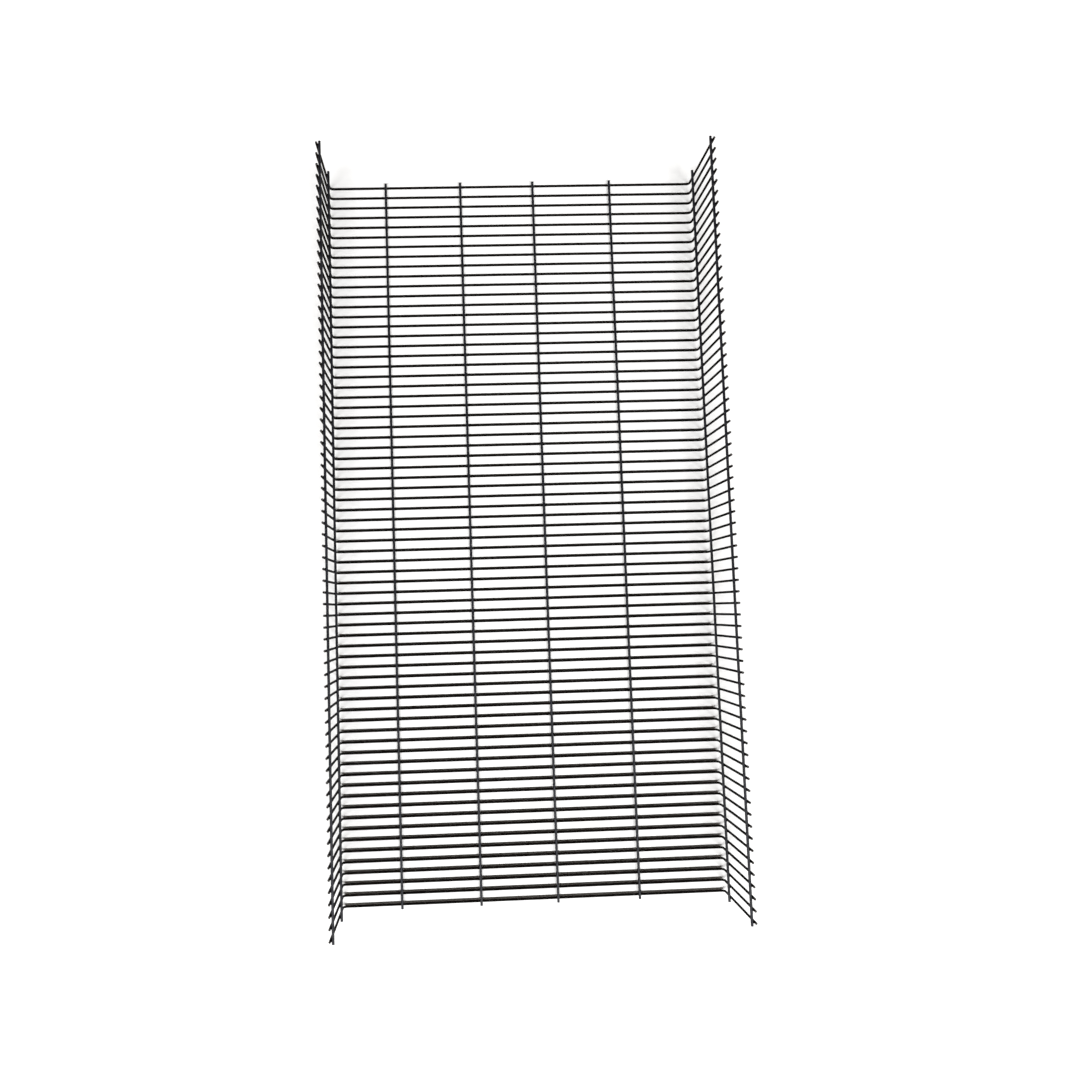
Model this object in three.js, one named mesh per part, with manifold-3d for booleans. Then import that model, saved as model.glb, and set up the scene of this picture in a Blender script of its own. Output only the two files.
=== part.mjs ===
// A black welded-wire cage panel, in millimetres, with its floor flat on Z = 0 and its two walls up.
// Seventy cross wires lie across the panel at an even pitch, each bent up at both ends to make the
// walls. Eight straight line wires run the panel's length on the inside of them: four on the floor,
// one low on each wall and one near the top of each wall. The wires are welded where they cross.
// A wire is drawn as an octagon, so that crossing wires meet flat on flat.
import * as THREE from "three";
import { mergeVertices } from "three/addons/utils/BufferGeometryUtils.js";
import Module from "manifold-3d";

// Driving dimensions.
const CROSS_WIRE = 2.7; // a cross wire with its coat, from flat to flat
const LINE_WIRE = 3; // a line wire with its coat, from flat to flat
const PANEL_LENGTH = 885.3; // along Y, from end to end of a line wire
const PANEL_WIDTH = 457.2; // along X, from outside to outside of the walls
const PANEL_HEIGHT = 109; // along Z, from the underside to the tips of the cross wires
const CROSS_PITCH = 12.7; // from one cross wire to the next
const LEAST_OVERHANG = 3; // of a line wire past the middle of the end cross wires
const BEND_RADIUS = 4; // of a cross wire's middle line
const TIP_ABOVE_RIM_WIRE = 5.6; // from a rim line wire's middle up to the tips
const LEFT_LOW_WIRE_HEIGHT = 36.7; // from the underside to the wire's middle
const RIGHT_LOW_WIRE_HEIGHT = 27.3;
const FLOOR_LINE_WIRES = { 1: -157.7, 2: -64.3, 3: 26.9, 4: 124.2 }; // number and X
const WELD_FLASH = 0.25; // a weld past the edges of the flats that it joins
const WELD_DEPTH = 0.45; // a weld into each of its two wires

const SIDES = 8;
const BEND_STEPS = 3; // straight facets round each right-angle bend
const MOST_MESHES = 60;

const wallX = (PANEL_WIDTH - CROSS_WIRE) / 2; // the middle of the cross wires in the walls
const floorZ = CROSS_WIRE / 2; // the middle of the cross wires on the floor
const crossCount = 1 + Math.floor((PANEL_LENGTH - 2 * LEAST_OVERHANG) / CROSS_PITCH);

const wasm = await Module();
wasm.setup();

function blackCoat(roughness) {
  return new THREE.MeshStandardMaterial({ color: 0x141416, roughness, metalness: 0.2 });
}

// A wire's middle line as a list of stations, each a point and the direction of the wire there.
class WireLine extends THREE.Curve {
  constructor(stations) {
    super();
    this.stations = stations;
  }

  station(t) {
    return this.stations[Math.round(t * (this.stations.length - 1))];
  }

  getUtoTmapping(u) {
    return u;
  }

  getPoint(t) {
    return this.station(t).point.clone();
  }

  getTangent(t) {
    return this.station(t).direction.clone();
  }
}

function station(x, y, z, directionX, directionY, directionZ) {
  return {
    point: new THREE.Vector3(x, y, z),
    direction: new THREE.Vector3(directionX, directionY, directionZ),
  };
}

// An octagonal wire, so thick from flat to flat, swept along its stations.
function sweptWire(thickness, stations) {
  const section = new THREE.Shape();
  const cornerRadius = thickness / 2 / Math.cos(Math.PI / SIDES);
  for (let i = 0; i < SIDES; i++) {
    const angle = ((2 * i + 1) * Math.PI) / SIDES;
    const corner = [cornerRadius * Math.cos(angle), cornerRadius * Math.sin(angle)];
    if (i === 0) section.moveTo(...corner);
    else section.lineTo(...corner);
  }
  return new THREE.ExtrudeGeometry(section, {
    steps: stations.length - 1,
    extrudePath: new WireLine(stations),
  });
}

// The bend from a wall into the floor: side is -1 on the left and 1 on the right.
function bendStations(side) {
  return Array.from({ length: BEND_STEPS + 1 }, (_, i) => {
    const turned = ((i / BEND_STEPS) * Math.PI) / 2;
    return station(
      side * (wallX - BEND_RADIUS * (1 - Math.cos(turned))),
      0,
      floorZ + BEND_RADIUS * (1 - Math.sin(turned)),
      -side * Math.sin(turned),
      0,
      -Math.cos(turned),
    );
  });
}

// One cross wire in the plane Y = 0, from its left tip down, across and up to its right tip.
function crossWire() {
  const rightBend = bendStations(1).reverse();
  rightBend.forEach((bend) => bend.direction.negate());
  return sweptWire(CROSS_WIRE, [
    station(-wallX, 0, PANEL_HEIGHT, 0, 0, -1),
    ...bendStations(-1),
    ...rightBend,
    station(wallX, 0, PANEL_HEIGHT, 0, 0, 1),
  ]);
}

// One line wire on its own middle line, along Y.
function lineWire() {
  return sweptWire(LINE_WIRE, [
    station(0, -PANEL_LENGTH / 2, 0, 0, 1, 0),
    station(0, PANEL_LENGTH / 2, 0, 0, 1, 0),
  ]);
}

// Where each line wire lies: its middle, and the middle of the flat by which it meets cross wires.
function floorLine(number, x) {
  const z = CROSS_WIRE + LINE_WIRE / 2;
  return { name: `floor_line_wire_${number}`, x, z, meetsX: x, meetsZ: CROSS_WIRE };
}

function wallLine(name, side, z) {
  const meetsX = side * (wallX - CROSS_WIRE / 2);
  return { name, x: meetsX - (side * LINE_WIRE) / 2, z, meetsX, meetsZ: z };
}

const rimZ = PANEL_HEIGHT - TIP_ABOVE_RIM_WIRE;
const lines = [
  ...Object.entries(FLOOR_LINE_WIRES).map(([number, x]) => floorLine(number, x)),
  wallLine("left_low_line_wire", -1, LEFT_LOW_WIRE_HEIGHT),
  wallLine("left_rim_line_wire", -1, rimZ),
  wallLine("right_low_line_wire", 1, RIGHT_LOW_WIRE_HEIGHT),
  wallLine("right_rim_line_wire", 1, rimZ),
];

// The width of one flat of an octagonal wire.
function flat(thickness) {
  return thickness * Math.tan(Math.PI / SIDES);
}

function crossY(index) {
  return (index - (crossCount - 1) / 2) * CROSS_PITCH;
}

function solidOf(geometry) {
  const bare = geometry.clone();
  bare.deleteAttribute("normal");
  bare.deleteAttribute("uv");
  const merged = mergeVertices(bare, 1e-4);
  return new wasm.Manifold(
    new wasm.Mesh({
      numProp: 3,
      vertProperties: merged.attributes.position.array,
      triVerts: new Uint32Array(merged.index.array),
    }),
  );
}

function geometryOf(solid) {
  const mesh = solid.getMesh();
  return new THREE.BufferGeometry()
    .setAttribute("position", new THREE.BufferAttribute(mesh.vertProperties, 3))
    .setIndex(new THREE.BufferAttribute(mesh.triVerts, 1));
}

// A line wire with some of the cross wires welded to it: one body, on the line wire's middle line.
function weldedLineWire(line, crossIndexes) {
  const weldLength = flat(CROSS_WIRE) + 2 * WELD_FLASH; // along the line wire
  const weldWidth = flat(LINE_WIRE) + 2 * WELD_FLASH;
  const pieces = crossIndexes.flatMap((index) => {
    const sunk = 2 * WELD_DEPTH;
    const weld =
      line.meetsX === line.x
        ? new THREE.BoxGeometry(weldWidth, weldLength, sunk)
        : new THREE.BoxGeometry(sunk, weldLength, weldWidth);
    weld.translate(line.meetsX - line.x, crossY(index), line.meetsZ - line.z);
    const cross = crossWire().translate(-line.x, crossY(index), -line.z);
    return [solidOf(weld), solidOf(cross)];
  });
  return geometryOf(pieces.reduce((body, piece) => body.add(piece), solidOf(lineWire())));
}

// Every cross wire has its own mesh as far as MOST_MESHES allows. The rest, spread evenly along the
// panel, share the meshes of the line wires in turn, each joined by its weld.
function sharedCrossWires() {
  const spare = Math.max(0, crossCount + lines.length - MOST_MESHES);
  const shared = lines.map(() => []);
  for (let index = 0, found = 0; index < crossCount; index++) {
    if (Math.floor(((index + 1) * spare) / crossCount) > found) {
      shared[found % lines.length].push(index);
      found++;
    }
  }
  return shared;
}

const group = new THREE.Group();
const shared = sharedCrossWires();

lines.forEach((line, i) => {
  const mesh = new THREE.Mesh(weldedLineWire(line, shared[i]), blackCoat(0.42));
  mesh.name = line.name;
  mesh.position.set(line.x, 0, line.z);
  group.add(mesh);
});

for (let index = 0; index < crossCount; index++) {
  if (shared.flat().includes(index)) continue;
  const mesh = new THREE.Mesh(crossWire(), blackCoat(0.4));
  mesh.name = `cross_wire_${String(index + 1).padStart(2, "0")}`;
  mesh.position.y = crossY(index);
  group.add(mesh);
}

export default group;
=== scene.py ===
"""A black welded-wire cage panel on a pale floor: seventy cross wires bent up into two low walls,
eight straight line wires on their inner side and a weld at every crossing, all dipped black."""

import math
import random

import bmesh
import bpy
from mathutils import Matrix, Vector


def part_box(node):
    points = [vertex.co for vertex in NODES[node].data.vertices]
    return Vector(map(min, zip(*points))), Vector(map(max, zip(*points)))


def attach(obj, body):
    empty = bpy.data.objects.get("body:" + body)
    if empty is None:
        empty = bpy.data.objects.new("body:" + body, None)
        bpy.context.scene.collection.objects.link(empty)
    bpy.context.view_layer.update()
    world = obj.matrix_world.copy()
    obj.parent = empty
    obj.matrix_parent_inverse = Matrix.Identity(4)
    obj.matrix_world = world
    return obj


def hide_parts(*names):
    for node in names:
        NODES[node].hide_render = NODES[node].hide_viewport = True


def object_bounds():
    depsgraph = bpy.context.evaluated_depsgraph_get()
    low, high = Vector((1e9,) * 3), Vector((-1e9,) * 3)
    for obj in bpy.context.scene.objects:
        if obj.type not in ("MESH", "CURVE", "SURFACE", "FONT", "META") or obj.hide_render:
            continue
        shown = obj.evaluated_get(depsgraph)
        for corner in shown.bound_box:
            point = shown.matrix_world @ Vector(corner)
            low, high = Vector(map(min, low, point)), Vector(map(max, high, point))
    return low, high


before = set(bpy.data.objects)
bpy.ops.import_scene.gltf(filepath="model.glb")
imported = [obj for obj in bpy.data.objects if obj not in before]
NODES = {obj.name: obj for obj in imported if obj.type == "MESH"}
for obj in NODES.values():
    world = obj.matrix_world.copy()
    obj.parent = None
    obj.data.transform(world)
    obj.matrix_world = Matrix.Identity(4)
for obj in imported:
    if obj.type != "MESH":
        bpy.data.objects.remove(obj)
cad_low, cad_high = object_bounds()

MM = 0.001
TOUCH = 0.01 * MM  # corners closer than this lie at one place

# The shape of a finished wire.
ROUND_SIDES = 20
BEND_RADIUS = 4 * MM
BEND_STEPS = 12
END_ROUND = 0.3 * MM  # the coat rounds the edge of a cut end by this much
END_STEPS = 3

# A weld with the coat that fills its corners: a flattened bead between the two wires.
BEAD_REACH = 1.6 * MM
BEAD_HALF_HEIGHT = 0.85 * MM
BEAD_SIDES = 8
BEAD_ROWS = 5
BEAD_SPREAD = 0.1  # how far beads differ in size, either way
BEAD_DRIFT = 0.12 * MM  # how far a bead sits off the middle of its crossing

# The black coat. A pattern is its scale, its detail, and the levels where it starts and is full.
PATCHES = (36.0, 3.0, 0.40, 0.66)  # where the coat lies thin
SPECKS = (950.0, 2.0, 0.60, 0.74)
PEEL = (1500.0, 1.0, 0.20, 0.80)
DUST = (130.0, 4.0, 0.42, 0.75)
RUBBING = (700.0, 2.0, 0.35, 0.60)
DUST_COLOUR = (0.19, 0.18, 0.165, 1.0)
RUBBED_COLOUR = (0.14, 0.13, 0.12, 1.0)
MOST_RUBBED = 0.5
FACES_UP = (0.30, 0.95)  # how much a face looks up where dust starts and where it lies full
BUMP_STRENGTH = 0.35

# No floor is dead level: from a line across it the near part falls away a little.
FLOOR_SIZE = 7
FLOOR_CREASE_Y = -0.06
FLOOR_FALL = 0.0034
FLOOR_COLOUR = (0.95, 0.93, 0.905, 1.0)
FLOOR_ROUGHNESS = 0.9
FLOOR_GLOSS = 0.1

# One long soft box across the panel, in a pale room with a dark ceiling.
LIGHT_PLACE = (0, -6.7, 10.0)
LIGHT_LENGTH = 16
LIGHT_WIDTH = 1.1
LIGHT_POWER = 2790
LIGHT_COLOUR = (0.955, 0.975, 1.0)
WALL_COLOUR = (0.85, 0.82, 0.78, 1.0)
CEILING_COLOUR = (0.035, 0.032, 0.026, 1.0)
CEILING_UP = (0.28, 0.36)  # how far up the ceiling starts and is full, where overhead is 1

CAMERA_PLACE = (-0.0827, -0.0931, 1.0319)
CAMERA_TURN = (4.315, -1.789, -1.785)  # degrees about X, Y and Z
CAMERA_LENS = 28.17
CAMERA_SHIFT = (0.0518, 0.0055)
CAMERA_SENSOR = 36
CAMERA_NEAREST = 0.01


# ------------------------------------------------------------ where the wires lie


def middle_of(node):
    low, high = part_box(node)
    return (low + high) / 2


cross_nodes = {int(name[-2:]): name for name in NODES if name.startswith("cross_wire_")}
line_nodes = sorted(name for name in NODES if "line_wire" in name)

lowest_number, highest_number = min(cross_nodes), max(cross_nodes)
lowest_y = middle_of(cross_nodes[lowest_number]).y
highest_y = middle_of(cross_nodes[highest_number]).y
PITCH = (highest_y - lowest_y) / (highest_number - lowest_number)
FIRST_Y = lowest_y - (lowest_number - 1) * PITCH
CROSS_COUNT = round((cad_low.y + cad_high.y - 2 * FIRST_Y) / PITCH) + 1

TIP_Z = cad_high.z
END_Y = cad_high.y


def cross_y(number):
    return FIRST_Y + (number - 1) * PITCH


def line_end(node):
    """X and Z of a line wire's middle and its radius, from the corners of its far end."""
    corners = [v.co for v in NODES[node].data.vertices if v.co.y > END_Y - TOUCH]
    (left, right), (bottom, top) = (
        (min(c[axis] for c in corners), max(c[axis] for c in corners)) for axis in (0, 2)
    )
    return (left + right) / 2, (bottom + top) / 2, (right - left) / 2


def cross_numbers_in(node):
    """The numbers of the cross wires whose solids belong to a line wire's node, by their tips."""
    tips = [v.co.y for v in NODES[node].data.vertices if v.co.z > TIP_Z - TOUCH]
    return sorted({round((y - FIRST_Y) / PITCH) + 1 for y in tips})


cross_low, cross_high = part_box(cross_nodes[lowest_number])
CROSS_RADIUS = (cross_high.y - cross_low.y) / 2
WALL_X = cad_high.x - CROSS_RADIUS  # the middle of the cross wires in the walls
FLOOR_Z = cad_low.z + CROSS_RADIUS  # the middle of the cross wires on the floor


# ------------------------------------------------------------ shader maths


class Value:
    """A shader socket that Python's operators work on: each of them adds a Math node."""

    def __init__(self, socket):
        self.socket = socket
        self.tree = socket.id_data

    def node(self, kind, settings=None, out=0, **inputs):
        """A node of a type, with its settings made first, then values or links for its sockets."""
        return node_in(self.tree, kind, settings, out, **inputs)

    def maths(self, operation, first, second):
        return self.node("ShaderNodeMath", {"operation": operation}, _0=first, _1=second)

    def __add__(self, other):
        return self.maths("ADD", self, other)

    def __mul__(self, other):
        return self.maths("MULTIPLY", self, other)

    __radd__ = __add__
    __rmul__ = __mul__

    def __abs__(self):
        return self.maths("ABSOLUTE", self, 0.0)

    def between(self, low, high):
        """0 up to low, 1 from high on, and smooth in between."""
        settings = {"interpolation_type": "SMOOTHSTEP"}
        return self.node("ShaderNodeMapRange", settings, Value=self, From_Min=low, From_Max=high)


def node_in(tree, kind, settings=None, out=0, **inputs):
    """A new node's output. A socket is named by its words joined with _, or by _ and its place."""
    node = tree.nodes.new(kind)
    for name, setting in (settings or {}).items():
        setattr(node, name, setting)
    for key, value in inputs.items():
        if key[1:].isdigit():
            socket = node.inputs[int(key[1:])]
        else:
            socket = next(s for s in node.inputs if s.enabled and s.name == key.replace("_", " "))
        if isinstance(value, Value):
            tree.links.new(value.socket, socket)
        else:
            socket.default_value = value
    if isinstance(out, int):
        return Value(node.outputs[out])
    return Value(next(s for s in node.outputs if s.enabled and s.name == out))


def black_coat(name, thick, thin, rough, gloss, dusty, relief):
    """A black dipped coat over steel wire. The colours thick and thin are for where it lies so,
    rough is its roughness, gloss how much it mirrors, dusty how far dust greys what faces up, and
    relief the height of its lumps."""
    material = bpy.data.materials.new(name)
    material.use_nodes = True
    tree = material.node_tree
    shader = tree.nodes["Principled BSDF"]

    def add(kind, settings=None, out=0, **inputs):
        return node_in(tree, kind, settings, out, **inputs)

    place = add("ShaderNodeTexCoord", out="Object")

    def noise(scale, detail, low, high):
        pattern = add("ShaderNodeTexNoise", Vector=place, Scale=scale, Detail=detail)
        return pattern.between(low, high)

    def blend(share, first, second):
        settings = {"data_type": "RGBA"}
        return add("ShaderNodeMix", settings, "Result", Factor=share, A=first, B=second)

    height = add("ShaderNodeSeparateXYZ", out="Z", Vector=place)
    length = abs(add("ShaderNodeSeparateXYZ", out="Y", Vector=place))
    normal = add("ShaderNodeNewGeometry", out="Normal")
    upward = add("ShaderNodeSeparateXYZ", out="Z", Vector=normal).between(*FACES_UP)

    patches = noise(*PATCHES)
    specks = noise(*SPECKS)
    peel = noise(*PEEL)
    dust = upward * noise(*DUST) * dusty
    # The coat is thin where the wires were cut: at the tips of the walls and the panel's two ends.
    cut = height.between(TIP_Z - END_ROUND, TIP_Z) + length.between(END_Y - END_ROUND, END_Y)
    rubbed = cut * noise(*RUBBING)

    coat = blend(patches, thick, thin)
    coat = blend(dust, coat, DUST_COLOUR)
    coat = blend(rubbed * MOST_RUBBED, coat, RUBBED_COLOUR)
    roughness = rough + patches * 0.06 + specks * 0.05 + dust * 0.3 + rubbed * 0.1
    lumps = peel * 0.6 + specks * 0.4 + patches * 0.5
    bump = add("ShaderNodeBump", Strength=BUMP_STRENGTH, Distance=relief, Height=lumps)

    tree.links.new(coat.socket, shader.inputs["Base Color"])
    tree.links.new(roughness.socket, shader.inputs["Roughness"])
    tree.links.new(bump.socket, shader.inputs["Normal"])
    shader.inputs["Specular IOR Level"].default_value = gloss
    return material


def plain_floor():
    material = bpy.data.materials.new("pale floor")
    material.use_nodes = True
    shader = material.node_tree.nodes["Principled BSDF"]
    shader.inputs["Base Color"].default_value = FLOOR_COLOUR
    shader.inputs["Roughness"].default_value = FLOOR_ROUGHNESS
    shader.inputs["Specular IOR Level"].default_value = FLOOR_GLOSS
    return material


# ------------------------------------------------------------ wires and welds


def start_wire(bm, radius, middle, turn=None):
    """The edges of a wire's first ring, which faces up unless it is turned."""
    matrix = Matrix.Translation(middle) @ (turn or Matrix())
    bmesh.ops.create_circle(bm, segments=ROUND_SIDES, radius=radius, matrix=matrix)
    return list(bm.edges)


def run_straight(bm, ring, step):
    made = bmesh.ops.extrude_edge_only(bm, edges=ring)["geom"]
    verts = [g for g in made if isinstance(g, bmesh.types.BMVert)]
    bmesh.ops.translate(bm, verts=verts, vec=step)
    new = set(verts)
    return [g for g in made if isinstance(g, bmesh.types.BMEdge) and new.issuperset(g.verts)]


def run_bend(bm, ring, centre):
    """A right-angle bend in the plane of a cross wire, about a centre."""
    made = bmesh.ops.spin(
        bm, geom=ring, cent=centre, axis=(0, 1, 0), angle=-math.pi / 2,
        steps=BEND_STEPS, use_merge=False, use_duplicate=False,
    )
    return [g for g in made["geom_last"] if isinstance(g, bmesh.types.BMEdge)]


def close_wire(bm, *ends):
    """Fills both cut ends and rounds their edges."""
    for ring in ends:
        bmesh.ops.edgeloop_fill(bm, edges=ring)
    bmesh.ops.bevel(
        bm, geom=[e for ring in ends for e in ring], offset=END_ROUND, offset_type="OFFSET",
        affect="EDGES", segments=END_STEPS, profile=0.5, material=-1,
    )
    bmesh.ops.recalc_face_normals(bm, faces=bm.faces)
    for face in bm.faces:
        face.smooth = len(face.verts) == 4


def cross_wire_shape():
    """A cross wire in the plane Y = 0, from its left tip down, across and up to its right tip."""
    bm = bmesh.new()
    down = FLOOR_Z + BEND_RADIUS - TIP_Z
    inner = WALL_X - BEND_RADIUS
    left_tip = start_wire(bm, CROSS_RADIUS, (-WALL_X, 0, TIP_Z))
    ring = run_straight(bm, left_tip, (0, 0, down))
    ring = run_bend(bm, ring, (-inner, 0, FLOOR_Z + BEND_RADIUS))
    ring = run_straight(bm, ring, (2 * inner, 0, 0))
    ring = run_bend(bm, ring, (inner, 0, FLOOR_Z + BEND_RADIUS))
    right_tip = run_straight(bm, ring, (0, 0, -down))
    close_wire(bm, left_tip, right_tip)
    return bm


def line_wire_shape(x, z, radius):
    bm = bmesh.new()
    near_end = start_wire(bm, radius, (x, -END_Y, z), Matrix.Rotation(math.pi / 2, 4, "X"))
    far_end = run_straight(bm, near_end, (0, 2 * END_Y, 0))
    close_wire(bm, near_end, far_end)
    return bm


def weld_beads_shape(x, z, radius, draw):
    """A bead at each crossing of one line wire, between it and the cross wires below or outside."""
    bm = bmesh.new()
    on_floor = z < FLOOR_Z + 2 * (CROSS_RADIUS + radius)
    side = math.copysign(1, x)
    for number in range(1, CROSS_COUNT + 1):
        reach = BEAD_REACH * draw.uniform(1 - BEAD_SPREAD, 1 + BEAD_SPREAD)
        half = BEAD_HALF_HEIGHT * draw.uniform(1 - BEAD_SPREAD, 1 + BEAD_SPREAD)
        drift = draw.uniform(-BEAD_DRIFT, BEAD_DRIFT)
        if on_floor:
            middle = Vector((x + drift, cross_y(number), z - radius))
            sizes = (reach, reach, half)
        else:
            middle = Vector((x + side * radius, cross_y(number), z + drift))
            sizes = (half, reach, reach)
        bmesh.ops.create_uvsphere(
            bm, u_segments=BEAD_SIDES, v_segments=BEAD_ROWS, radius=1,
            matrix=Matrix.Translation(middle) @ Matrix.Diagonal((*sizes, 1)),
        )
    for face in bm.faces:
        face.smooth = True
    return bm


def add_piece(name, bm, material, nodes):
    mesh = bpy.data.meshes.new(name)
    bm.to_mesh(mesh)
    mesh.materials.append(material)
    piece = bpy.data.objects.new(name, mesh)
    bpy.context.scene.collection.objects.link(piece)
    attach(piece, "root")
    if nodes:
        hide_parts(*nodes)


def add_wires():
    # The cross wires' coat is made darker and warmer than the line wires' coat. This brown-black
    # tint is painted shade, the warm shadow the wires lie in.
    cross_coat_painted_shade = black_coat(
        "coat on cross wires, warm for painted shade",
        thick=(0.0024, 0.0015, 0.0012, 1.0), thin=(0.0050, 0.0032, 0.0025, 1.0),
        rough=0.36, gloss=0.015, dusty=0.02, relief=0.05 * MM,
    )
    # The line wires' coat is made bluer than the cross wires' coat. This blue tint is a painted
    # sheen, the reflection of the bluish soft box.
    line_coat_painted_sheen = black_coat(
        "coat on line wires, blue for painted sheen",
        thick=(0.0045, 0.0046, 0.0075, 1.0), thin=(0.0080, 0.0083, 0.0130, 1.0),
        rough=0.50, gloss=0.25, dusty=0.05, relief=0.05 * MM,
    )
    on_weld = black_coat(
        "coat on welds",
        thick=(0.0032, 0.0026, 0.0026, 1.0), thin=(0.0075, 0.0060, 0.0055, 1.0),
        rough=0.42, gloss=0.08, dusty=0.02, relief=0.12 * MM,
    )

    owners = dict(cross_nodes)
    for node in line_nodes:
        owners.update({number: node for number in cross_numbers_in(node)})

    shape = cross_wire_shape()
    for number in range(1, CROSS_COUNT + 1):
        placed = shape.copy()
        bmesh.ops.translate(placed, verts=placed.verts, vec=(0, cross_y(number), 0))
        name = f"coated_cross_wire_{number:02d}"
        add_piece(name, placed, cross_coat_painted_shade, [owners[number]])

    draw = random.Random(7)
    for node in line_nodes:
        x, z, radius = line_end(node)
        wire = line_wire_shape(x, z, radius)
        beads = weld_beads_shape(x, z, radius, draw)
        add_piece(f"coated_{node}", wire, line_coat_painted_sheen, [node])
        add_piece(f"welds_on_{node}", beads, on_weld, [])


# ------------------------------------------------------------ floor, light and camera


def add_floor():
    bm = bmesh.new()
    bmesh.ops.create_grid(bm, x_segments=1, y_segments=1, size=FLOOR_SIZE / 2)
    bmesh.ops.translate(bm, verts=bm.verts, vec=(0, 0, cad_low.z))
    bmesh.ops.bisect_plane(
        bm, geom=[*bm.verts, *bm.edges, *bm.faces],
        plane_co=(0, FLOOR_CREASE_Y, 0), plane_no=(0, 1, 0),
    )
    near = [v for v in bm.verts if v.co.y < FLOOR_CREASE_Y - TOUCH]
    drop = (FLOOR_SIZE / 2 + FLOOR_CREASE_Y) * FLOOR_FALL
    bmesh.ops.translate(bm, verts=near, vec=(0, 0, -drop))
    mesh = bpy.data.meshes.new("floor")
    bm.to_mesh(mesh)
    mesh.materials.append(plain_floor())
    floor = bpy.data.objects.new("floor", mesh)
    bpy.context.scene.collection.objects.link(floor)


def add_light():
    data = bpy.data.lights.new("long soft box", "AREA")
    data.shape = "RECTANGLE"
    data.size = LIGHT_LENGTH
    data.size_y = LIGHT_WIDTH
    data.energy = LIGHT_POWER
    data.color = LIGHT_COLOUR
    light = bpy.data.objects.new("long soft box", data)
    light.location = LIGHT_PLACE
    light.rotation_euler = (-light.location).to_track_quat("-Z", "Y").to_euler()
    bpy.context.scene.collection.objects.link(light)


def add_room():
    world = bpy.data.worlds.new("pale room")
    world.use_nodes = True
    tree = world.node_tree
    way = node_in(tree, "ShaderNodeTexCoord", out="Generated")
    up = node_in(tree, "ShaderNodeSeparateXYZ", out="Z", Vector=way).between(*CEILING_UP)
    room = node_in(
        tree, "ShaderNodeMix", {"data_type": "RGBA"}, "Result",
        Factor=up, A=WALL_COLOUR, B=CEILING_COLOUR,
    )
    tree.links.new(room.socket, tree.nodes["Background"].inputs["Color"])
    bpy.context.scene.world = world


def add_camera():
    data = bpy.data.cameras.new("camera")
    data.sensor_width = CAMERA_SENSOR
    data.lens = CAMERA_LENS
    data.shift_x, data.shift_y = CAMERA_SHIFT
    data.clip_start = CAMERA_NEAREST
    camera = bpy.data.objects.new("camera", data)
    camera.location = CAMERA_PLACE
    camera.rotation_euler = [math.radians(angle) for angle in CAMERA_TURN]
    bpy.context.scene.collection.objects.link(camera)
    bpy.context.scene.camera = camera


add_floor()
add_wires()
add_light()
add_room()
add_camera()
bpy.context.scene.view_settings.view_transform = "Standard"
